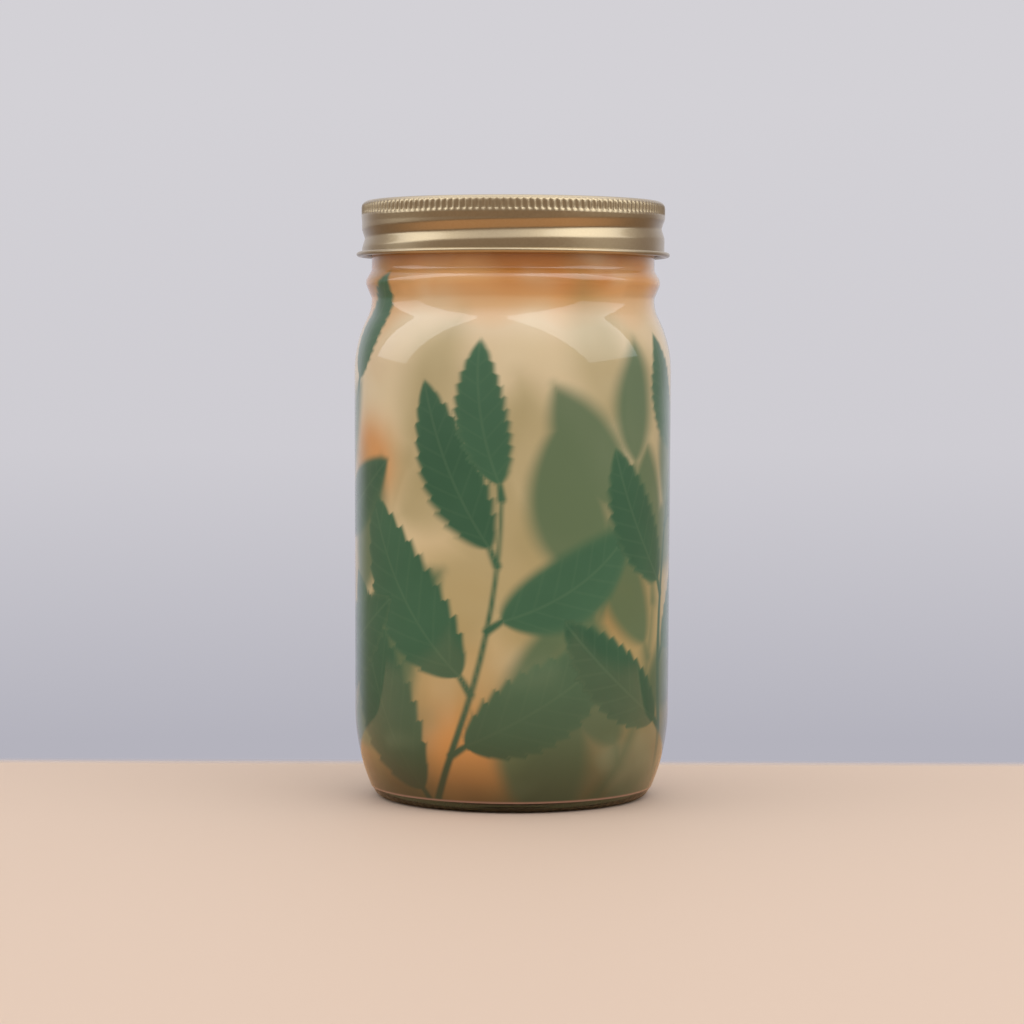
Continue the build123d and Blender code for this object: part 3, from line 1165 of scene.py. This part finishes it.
packetForm = dict(
    grid=(60, 46),
    edge=0.009,
    fullness=0.0005,
    seeds=26,
    seedArea=((-0.013, -0.02), (0.013, 0.006)), seedSize=0.0012, seedRise=0.00018, seed=4,
    flap=0.012, flapGrid=(14, 40), flapThickness=0.0004, flapShare=0.7, flapInset=0.001, flapBack=0.0003,
    flapTaper=0.16, flapCurve=1.5, flapLift=0.00006,
)


def kraftPaper():
    f = Finish("kraftPaper")
    pulp = f.noise(420, 5.0, 0.6, stretch=(1, 0.35, 1))
    tone = f.flecked(pulp, (178, 142, 98), (204, 170, 124))
    tone = f.mix(f.spread(f.noise(1500, 2.0), 0.62, 0.72, 0, 0.5), tone, colour(132, 98, 62))
    f.set(Base_Color=tone, Roughness=0.85)
    f.bump(pulp, strength=0.25, distance=0.0003)
    return f.material


def makePacket(finish):
    f = packetForm
    low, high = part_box("seed_packet")
    dice = np.random.default_rng(f["seed"])
    bodyTop = high.z - f["flapThickness"]
    x, y, inset = flatGrid(low, high, *f["grid"])
    full = smoothStep(0.0, f["edge"], inset)
    seeds = np.zeros(x.shape)
    for seedX, seedY in dice.uniform(*f["seedArea"], (f["seeds"], 2)):
        bump = np.exp(-(((x - seedX) / f["seedSize"]) ** 2) - ((y - seedY) / f["seedSize"]) ** 2)
        seeds = np.maximum(seeds, bump)
    top = bodyTop - f["fullness"] * (1 - full) - f["seedRise"] * full * (1 - seeds)
    body = slab("seedPacket", x, y, top, np.full(x.shape, low.z), finish, sharp=40)
    rows, cols = f["flapGrid"]
    back, across = np.meshgrid(np.linspace(0, 1, rows), np.linspace(-0.5, 0.5, cols), indexing="ij")
    x = across * (high.x - low.x - 2 * f["flapInset"]) * (1 - f["flapTaper"] * back ** f["flapCurve"])
    y = high.y - f["flapBack"] - back * f["flap"]
    full = smoothStep(0, f["edge"], np.minimum(high.y - y, high.x - np.abs(x)))
    under = bodyTop - f["fullness"] * (1 - full) + f["flapLift"] * back**2
    over = np.minimum(under + f["flapThickness"] * f["flapShare"], high.z)
    return body, slab("seedPacketFlap", x, y, over, under, finish, sharp=40)


# Nutrient sachet: crimped seams round a filled middle

sachetForm = dict(
    grid=(180, 130),
    seam=0.006,
    film=0.0003,
    crimps=0.0012,
    crimpDepth=0.00012, crimpSpan=(0.12, 0.85),
    slope=0.008,
    folds=0.06, foldPitch=(900, 760, 1500),
    grains=0.03, grainPitch=(1700, 800, 1500),
    upperFill=0.93,
    settled=0.02,
    lowerFill=0.97,
)


def sachetFilm():
    f = Finish("sachetFilm")
    f.set(Base_Color=f.flecked(f.noise(40), (222, 222, 219), (238, 238, 235)))
    f.set(Roughness=f.grainy(f.noise(220), 0.22, 0.36), Metallic=0.35, Coat_Weight=0.5, Coat_Roughness=0.1)
    f.bump(f.noise(150), strength=0.25, distance=0.0006)
    return f.material


def makeSachet(finish):
    f = sachetForm
    low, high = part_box("nutrient_sachet")
    middle = (low.z + high.z) / 2
    half = f["film"] / 2
    room = (high.z - low.z) / 2 - half
    x, y, inset = flatGrid(low, high, *f["grid"])
    rise = smoothStep(f["seam"], f["seam"] + f["slope"], inset)
    a, b, c = f["foldPitch"]
    folds = np.cos(x * a + 1) * np.cos(y * b) + 0.6 * np.cos((x + y) * c)
    folds = f["folds"] * rise * (1 - rise) * 4 * folds
    a, b, c = f["grainPitch"]
    grains = f["grains"] * rise * np.cos(x * a + 2 * np.cos(y * b)) * np.cos(y * c + 1.3)
    crimp = np.cos(np.where(np.abs(y) > high.y - f["seam"], x, y) * math.tau / f["crimps"])
    start, stop = f["crimpSpan"]
    crimp = crimp * (inset < f["seam"] * stop) * (inset > f["seam"] * start) * f["crimpDepth"]
    swell = np.clip(rise * f["upperFill"] + folds + grains - f["settled"], 0, 1)
    upper = middle + half + crimp + room * swell
    lower = middle - half + crimp - room * rise * f["lowerFill"]
    return slab("nutrientSachet", x, y, upper, lower, finish, sharp=60)


# Floor, backdrop, light and camera

stageForm = dict(
    floor=colour(208, 182, 161), floorInGloss=colour(205, 156, 110),
    backEdge=(0.06, 0.076),
    reach=(0.36, 0.46),
    size=1.2,
    wall=[(0.02, (180, 179, 189)), (0.43, (206, 204, 210)), (0.93, (211, 209, 214))],
    wallSpan=(-0.13, 0.1), wallSeen=(0.6, 0.9),
    front=(0.345, 0.285, 0.245, 1.0), frontSpan=(-0.3, -0.1),
    sides=(0.33, 0.28, 0.26, 1.0),
    above=(1.4, 1.42, 1.5, 1.0), aboveSpan=(0.35, 0.85),
    below=(0.24, 0.17, 0.12, 1.0), belowSpan=(-0.05, -0.01),
    fill=(0.98, 0.98, 1.0, 1.0), fillSpan=(-0.05, 0.05),
    bounce=(0.42, 0.37, 0.33, 1.0),
)


def makeWorld():
    s = stageForm
    world = bpy.data.worlds.new("studio")
    scene.world = world
    world.use_nodes = True
    world.node_tree.nodes.clear()
    n = Nodes(world.node_tree)
    split = n.split("Generated")
    up = split["Z"]
    seen = n.ramp(n.spread(up, *s["wallSpan"]), s["wall"])
    light = n.mix(n.ease(split["Y"], *s["frontSpan"]), s["front"], s["sides"])
    light = n.mix(n.ease(up, *s["aboveSpan"]), light, s["above"])
    light = n.mix(n.ease(up, *s["belowSpan"], 1, 0), light, s["below"])
    light = n.mix(n.ease(split["Y"], *s["wallSeen"]), light, seen)
    fill = n.mix(n.ease(up, *s["fillSpan"]), s["bounce"], s["fill"])
    light = n.mix(n.ray("Is Glossy Ray"), fill, light)
    direct = n.maths("MAXIMUM", n.ray("Is Camera Ray"), n.ray("Is Transmission Ray"))
    sky = n.node("ShaderNodeBackground", {"Color": n.mix(direct, light, seen)})
    n.node("ShaderNodeOutputWorld", {"Surface": sky.outputs["Background"]})


def makeFloor():
    s = stageForm
    f = Finish("paleFloor")
    f.set(Base_Color=f.mix(f.ray("Is Glossy Ray"), s["floor"], s["floorInGloss"]), Roughness=0.7)
    split = f.split("Object")
    edge = f.ease(split["Y"], *s["backEdge"])
    for side in ("X", "Y"):
        edge = f.maths("MAXIMUM", edge, f.ease(f.maths("ABSOLUTE", split[side]), *s["reach"]))
    f.seenThrough(edge, f.shader.outputs["BSDF"])
    half = s["size"] / 2
    points = [(-half, -half, 0), (half, -half, 0), (half, half, 0), (-half, half, 0)]
    meshObject("floor", points, [(0, 1, 2, 3)], f.material)


# soft panels, each by the direction of its corners from the jar: degrees round from the front and up
panelForm = dict(
    corners={
        "panelLeft": [(-28, 54), (-74, 54), (-115, 12), (-82, 10)],
        "panelRight": [(-8, 54), (76, 54), (102, 14), (56, 12)],
    },
    reach=1.5,
    tint=(0.96, 0.98, 1.0, 1.0),
    heights=(0.3, 1.1),
    strengths=(1.28, 3.2),
)


def makePanels():
    p = panelForm
    for name, corners in p["corners"].items():
        f = Finish(name)
        strength = f.spread(f.split("Object")["Z"], *p["heights"], *p["strengths"])
        glow = f.node("ShaderNodeEmission", {"Color": p["tint"], "Strength": strength})
        f.seenThrough(f.ray("Is Camera Ray"), glow.outputs["Emission"])
        points = []
        for azimuth, elevation in np.radians(corners):
            level = p["reach"] * math.cos(elevation)
            height = p["reach"] * math.sin(elevation)
            points.append((level * math.sin(azimuth), -level * math.cos(azimuth), height))
        meshObject(name, points, [(0, 1, 2, 3)], f.material)


cameraForm = dict(
    place=(-0.00025, -0.885, 0.129),
    pitch=math.radians(2.96),
    roll=math.radians(-0.2),
    lens=106.0,
    sensor=36.0,
)


def makeCamera():
    data = bpy.data.cameras.new("camera")
    data.lens = cameraForm["lens"]
    data.sensor_width = cameraForm["sensor"]
    camera = linked("camera", data)
    camera.location = cameraForm["place"]
    camera.rotation_euler = (math.pi / 2 - cameraForm["pitch"], cameraForm["roll"], 0.0)
    scene.camera = camera


def attach(piece, body, node=None):
    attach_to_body(piece, body)
    if node:
        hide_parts(node)
    return piece


gold = goldLacquer()
attach(makeGlass(clearGlass()), "jar", "glass_jar")
attach(makeFilm(printedFilm()), "jar", "printed_sleeve")
print("jar and film made")

attach(makeBand(gold), "band", "screw_band")
attach(makeKnurl(gold), "band")
attach(makeDisc(gold), "lid", "lid_disc")
attach(makeSeal(softSeal()), "seal", "sealing_ring")
print("lid made")

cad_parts["net_pot"].material_slots[0].material = brushedSteel()
wick, wickLength = makeWick(feltFinish())
attach(wick, "pot", "wick")
coir = coirFinish()
plug = attach(makePlug(coir), "pot", "grow_plug")
attach(makeFibres(plug, coir), "pot")
print("pot made")

packet, flap = makePacket(kraftPaper())
attach(packet, "jar", "seed_packet")
attach(flap, "jar")
attach(makeSachet(sachetFilm()), "jar", "nutrient_sachet")
print("packets made")

scene.view_settings.view_transform = "Standard"
makeWorld()
makeFloor()
makePanels()
makeCamera()
print("stage made")
